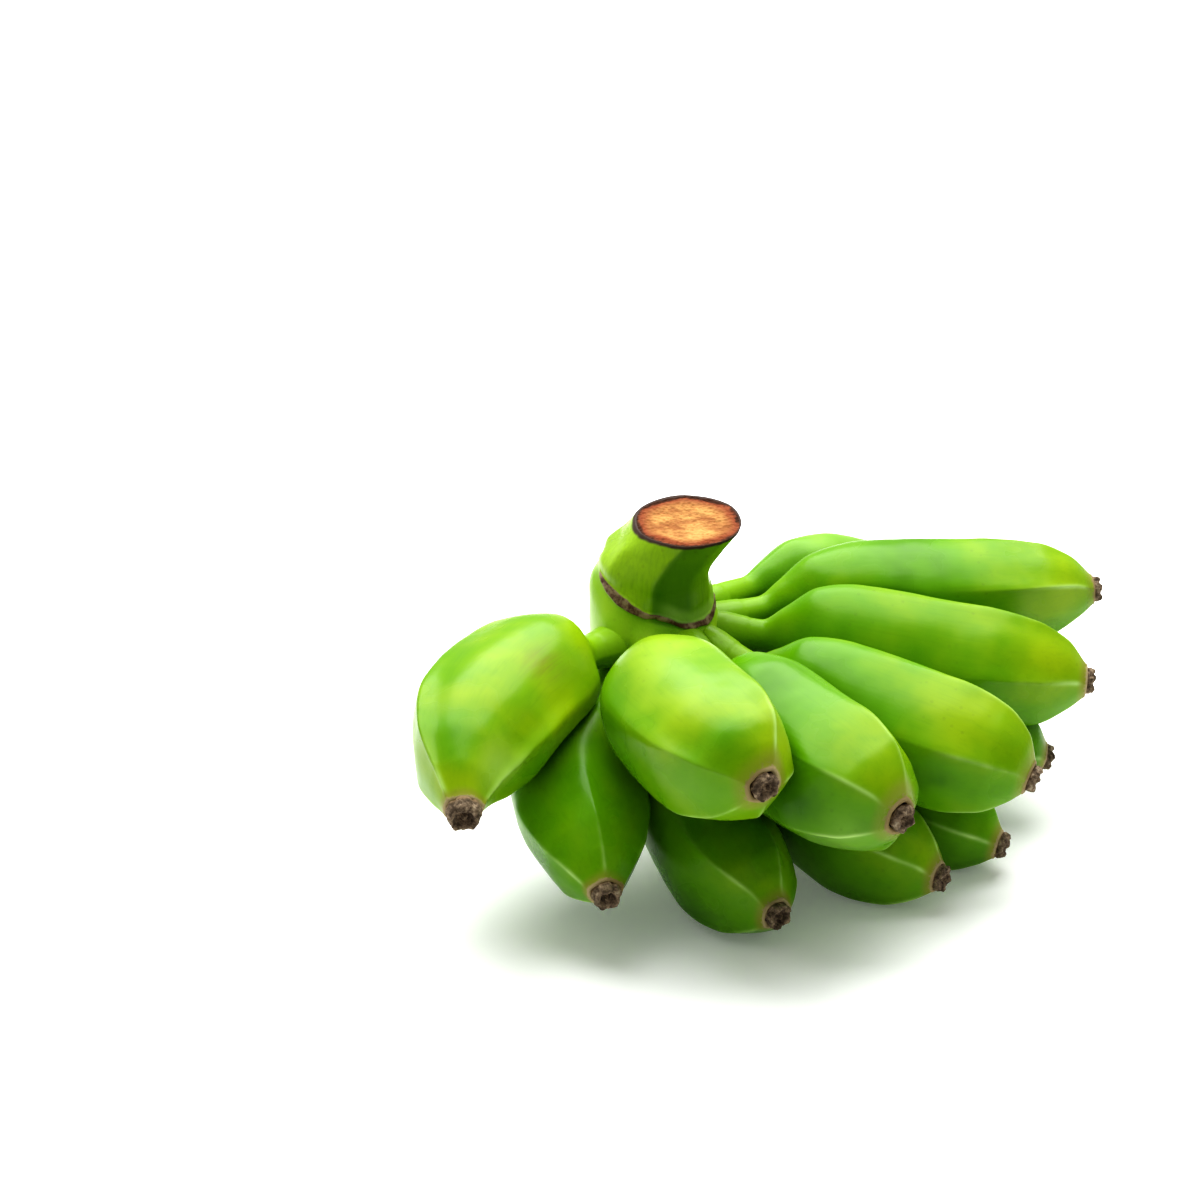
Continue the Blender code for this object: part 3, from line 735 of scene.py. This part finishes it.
def peel_finish():
    """Green peel under natural wax, with painted light on top and painted shade below, a lighter neck, tan
    where the flower was.
    """
    material, tree, shader = new_finish("green_peel")
    mottle, fibres, freckles, height = grain_in(tree, 0.05, 0.25)
    along = mask_of(tree, "along")
    # Each finger's ripeness with its painted shade, plus random mottling.
    yellow = sum_of(tree, mask_of(tree, "yellow"), ramp(tree, mottle, 0.25, 0.75, -0.20, 0.20))
    # Painted light and shade: lighter green on the finger's upper side, deeper green underneath.
    yellow = sum_of(tree, yellow, ramp(tree, mask_of(tree, "above"), -0.4, 0.9, -0.12, 0.12))
    yellow = sum_of(tree, yellow, ramp(tree, along, 0.60, 0.92, 0.0, 0.16))
    # Patches of painted light and painted shade.
    yellow = sum_of(tree, yellow, mask_of(tree, "light_and_shade"))
    green = mixed(tree, ramp(tree, yellow, 0.0, 0.55), DEEP_GREEN, MIDDLE_GREEN)
    green = mixed(tree, ramp(tree, yellow, 0.45, 1.1), green, YELLOW_GREEN)
    green = mixed(tree, ramp(tree, fibres, 0.45, 0.8, 0.0, 0.14), green, PEEL_FIBRE)
    # Painted sheen: whitish green laid on in the sheen patches.
    sheen_spots = product_of(tree, mask_of(tree, "pale"), ramp(tree, mottle, 0.3, 0.7, 0.6, 1.2))
    green = mixed(tree, sheen_spots, green, PAINTED_SHEEN_GREEN)
    worn = product_of(tree, mask_of(tree, "rub"), ramp(tree, fibres, 0.3, 0.7, 0.15, 0.55))
    green = mixed(tree, worn, green, RUB_BROWN)
    green = mixed(tree, ramp(tree, along, 0.22, 0.06, 0.0, 0.75), green, NECK_GREEN)
    # Pale lines along the ridges near the nose: partly wear, partly painted highlight.
    ridge = product_of(tree, mask_of(tree, "ridge"), ramp(tree, mottle, 0.38, 0.62, 0.05, 0.85))
    green = mixed(tree, ridge, green, RIDGE_WEAR_AND_HIGHLIGHT)
    nose = product_of(tree, ramp(tree, along, 0.972, 0.998), ramp(tree, mottle, 0.4, 0.6, 0.45, 0.8))
    green = mixed(tree, nose, green, NOSE_OLIVE)
    rim = ramp(tree, sum_of(tree, along, ramp(tree, fibres, 0.3, 0.7, -0.004, 0.004)), 0.996, 1.006)
    cork = mixed(tree, ramp(tree, mottle, 0.35, 0.65), *CORK_TANS)
    cork = mixed(tree, ramp(tree, along, 1.035, 1.05), cork, SOCKET_BROWN)
    green = mixed(tree, rim, green, cork)
    green = mixed(tree, product_of(tree, freckles, 0.6), green, PEEL_FRECKLE)
    tree.links.new(green, shader.inputs["Base Color"])
    rough = sum_of(tree, ramp(tree, mottle, 0.3, 0.7, 0.24, 0.34), product_of(tree, rim, 0.35))
    tree.links.new(rough, shader.inputs["Roughness"])
    shader.inputs["Specular IOR Level"].default_value = 0.18
    bump_into(tree, shader, height, 0.35, 0.12 * MM)
    return material


def on_table(rings):
    """The rings in the frame's own place, with nothing below the table's top."""
    return np.maximum(rings + COLLAR, [-np.inf, -np.inf, 0])


PEEL = peel_finish()
for number, finger in enumerate(FINGERS):
    rings, masks = finger_rings(finger, number)
    fruit = wrap(finger.name.replace("finger", "banana"), on_table(rings), [PEEL], masks)
    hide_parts(finger.name)
    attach(fruit, "root")

# ---- Dried flower ends -----------------------------------------------------------------------
# What is left of the flower at the tip of each finger: a short crumbling plug, dark brown and hollow in
# the middle, with the stubs of five or six dried parts round its edge.

FLOWER_RADIUS = 4.9 * MM
# From inside the socket out and over into the hollow: (mm beyond the tip, share of radius).
FLOWER_PROFILE = (
    (-0.8, 0.74), (0.0, 0.86), (0.5, 0.90), (1.2, 0.93), (2.0, 0.92), (2.8, 0.86), (3.3, 0.76), (3.4, 0.66),
    (3.0, 0.54), (2.2, 0.42), (1.7, 0.32), (2.0, 0.22), (2.8, 0.13), (3.1, 0.05),
)
FLOWER_SIDES = 60
FLOWER_RINGS = 36
BIG_CRUMBS, SMALL_CRUMBS = (1.6, 0.45), (0.7, 0.35)  # mm across, mm high
# Of these two fingers more of the flower is left: times the radius, times the length.
MORE_LEFT = {"upper_finger_1": (1.25, 1.7), "lower_finger_1": (1.05, 1.35)}
FLOWER_BROWNS = (0.060, 0.040, 0.022), (0.290, 0.215, 0.135)
STUB_TAN = (0.460, 0.380, 0.270)
FOOT_TAN = (0.360, 0.250, 0.130)


def dried_finish():
    """Dead brown tissue, lighter on the stubs that stand up and tan where it leaves the peel."""
    material, tree, shader = new_finish("dried_flower")
    crumble = noise_at(tree, object_place(tree), 420.0, 4.0, 0.7)
    brown = mixed(tree, ramp(tree, crumble, 0.35, 0.68), *FLOWER_BROWNS)
    light = product_of(tree, ramp(tree, crumble, 0.56, 0.72), mask_of(tree, "standing"))
    brown = mixed(tree, light, brown, STUB_TAN)
    brown = mixed(tree, product_of(tree, mask_of(tree, "foot"), 0.7), brown, FOOT_TAN)
    tree.links.new(brown, shader.inputs["Base Color"])
    tree.links.new(ramp(tree, crumble, 0.3, 0.7, 0.95, 0.75), shader.inputs["Roughness"])
    bump_into(tree, shader, crumble, 1.0, 0.8 * MM)
    return material


def flower_rings(finger, number):
    """Lobed, crumbling rings of the plug, from inside the socket to the middle of its hollow."""
    thicker, longer = MORE_LEFT.get(finger.name, (1.0, 1.0))
    fine = np.linspace(0, len(FLOWER_PROFILE) - 1, FLOWER_RINGS)
    beyond, share = [between(column[:, None], fine, False) for column in np.array(FLOWER_PROFILE).T]
    theta = np.linspace(0, 2 * np.pi, FLOWER_SIDES, endpoint=False)[None]
    lobes = 1 + 0.04 * share * np.sin(5 * theta + number) + 0.03 * share * np.sin(11 * theta + 2 * number)
    reach = FLOWER_RADIUS * thicker * share * lobes
    stand = (beyond * longer + 0.4 * step(1.6, 3.2, beyond) * np.sin(5 * theta + number)) * MM
    tip, forward, _ = spine(finger, np.array(1.0))
    right, up = sideways(forward)
    rings = (tip + stand[..., None] * forward + (reach * np.cos(theta))[..., None] * right
             + (reach * np.sin(theta))[..., None] * up)
    big = BIG_CRUMBS[1] * uneven(rings, BIG_CRUMBS[0] * MM, number)
    small = SMALL_CRUMBS[1] * uneven(rings, SMALL_CRUMBS[0] * MM, number + 0.3)
    crumbs = (big + small) * step(-0.6, 1.0, beyond)
    away = rings - tip
    rings = rings + (crumbs * MM)[..., None] * away / np.linalg.norm(away, axis=-1, keepdims=True)
    return rings, {"standing": step(0.5, 0.8, share), "foot": step(1.4, 0.4, beyond)}


DRIED = dried_finish()
for number, finger in enumerate(FINGERS):
    rings, masks = flower_rings(finger, number)
    plug = wrap(finger.name.replace("finger", "dried_flower"), on_table(rings), [DRIED], masks)
    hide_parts(finger.name.replace("finger", "flower_end"))
    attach(plug, "root")

# ---- Table, light and camera -----------------------------------------------------------------
# A plain white table under a wide soft light from above, with white all round. The camera looks down at
# the hand from its front, a little above the table.

TABLE_HALF = 8.0
TABLE_WHITE, ROOM_WHITE = (0.95, 0.95, 0.95, 1), (1, 1, 1, 1)
LIGHT_PLACE, LIGHT_AIM = (-0.04, 0.48, 1.20), (0, 0, 0.05)
LIGHT_SIZE = 1.6
LIGHT_POWER = 27.5
BRIGHTEST_WAY = (0.0, 0.6, 0.8)  # from the hand, up and behind it
CAMERA_RISE = 24  # degrees above the table
CAMERA_AWAY = 0.95
SENSOR, LENS = 36.0, 80.27  # mm
LEFT_OF_COLLAR, ABOVE_COLLAR = 20.593 * MM, 1.775 * MM  # how far off the collar the camera aims


def make_table():
    mesh = bpy.data.meshes.new("table")
    corners = [(x * TABLE_HALF, y * TABLE_HALF, 0) for x, y in ((-1, -1), (1, -1), (1, 1), (-1, 1))]
    mesh.from_pydata(corners, [], [(0, 1, 2, 3)])
    material, _, shader = new_finish("white_table")
    shader.inputs["Base Color"].default_value = TABLE_WHITE
    shader.inputs["Emission Color"].default_value = ROOM_WHITE
    shader.inputs["Emission Strength"].default_value = 0.10
    shader.inputs["Roughness"].default_value = 0.6
    mesh.materials.append(material)
    table = bpy.data.objects.new("table", mesh)
    bpy.context.scene.collection.objects.link(table)
    return table


def hang_light():
    lamp = bpy.data.lights.new("overhead", "AREA")
    lamp.shape, lamp.size, lamp.energy = "DISK", LIGHT_SIZE, LIGHT_POWER
    held = bpy.data.objects.new("overhead", lamp)
    held.location = LIGHT_PLACE
    held.rotation_mode = "QUATERNION"
    held.rotation_quaternion = (Vector(LIGHT_PLACE) - Vector(LIGHT_AIM)).to_track_quat("Z", "Y")
    bpy.context.scene.collection.objects.link(held)


def white_room():
    """Light all round: white overhead and behind, dim low down on the camera's side."""
    world = bpy.data.worlds.new("white_room")
    world.use_nodes = True
    tree = world.node_tree
    way = add(tree, "TexCoord").outputs["Generated"]
    behind = add(tree, "VectorMath", {0: way, 1: BRIGHTEST_WAY}, operation="DOT_PRODUCT").outputs["Value"]
    tree.links.new(ramp(tree, behind, -0.4, 0.9, 0.08, 0.60), tree.nodes["Background"].inputs["Strength"])
    tree.nodes["Background"].inputs["Color"].default_value = ROOM_WHITE
    return world


def place_camera():
    rise = math.radians(CAMERA_RISE)
    back = Vector((0, -math.cos(rise), math.sin(rise)))
    right, up = Vector((1, 0, 0)), Vector((0, math.sin(rise), math.cos(rise)))
    aim = Vector(COLLAR) - right * LEFT_OF_COLLAR + up * ABOVE_COLLAR
    lens = bpy.data.cameras.new("camera")
    lens.lens, lens.sensor_width = LENS, SENSOR
    camera = bpy.data.objects.new("camera", lens)
    camera.location = aim + back * CAMERA_AWAY
    camera.rotation_mode = "QUATERNION"
    camera.rotation_quaternion = back.to_track_quat("Z", "Y")
    bpy.context.scene.collection.objects.link(camera)
    return camera


make_table()
hang_light()
bpy.context.scene.world = white_room()
bpy.context.scene.camera = place_camera()
bpy.context.scene.view_settings.view_transform = "Standard"
bpy.context.scene.view_settings.look = "High Contrast"
